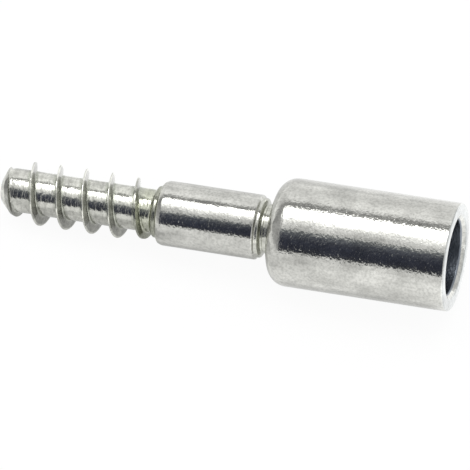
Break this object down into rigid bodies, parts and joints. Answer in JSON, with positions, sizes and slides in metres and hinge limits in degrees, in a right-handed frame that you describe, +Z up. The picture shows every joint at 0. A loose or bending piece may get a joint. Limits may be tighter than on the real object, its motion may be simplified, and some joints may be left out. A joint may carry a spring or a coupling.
{
  "type": "collar screw",
  "caption": "Steel collar screw: coarse wood thread, smooth shank and a wide round-shouldered collar with a blind bore in its end.",
  "frame": {"origin": "on the floor, under the middle of the lying screw", "axes": "+X runs along the floor from the thread's tip to the collar's open end, +Z up; the screw's own axis rises 5.0 degrees from +X towards the collar"},
  "size_m": [0.0434, 0.01, 0.0113],
  "materials": {
    "zinc_plated_steel": "bright zinc plate"
  },
  "bodies": {
    "root": {"collar_screw": "zinc_plated_steel"}
  },
  "joints": []
}
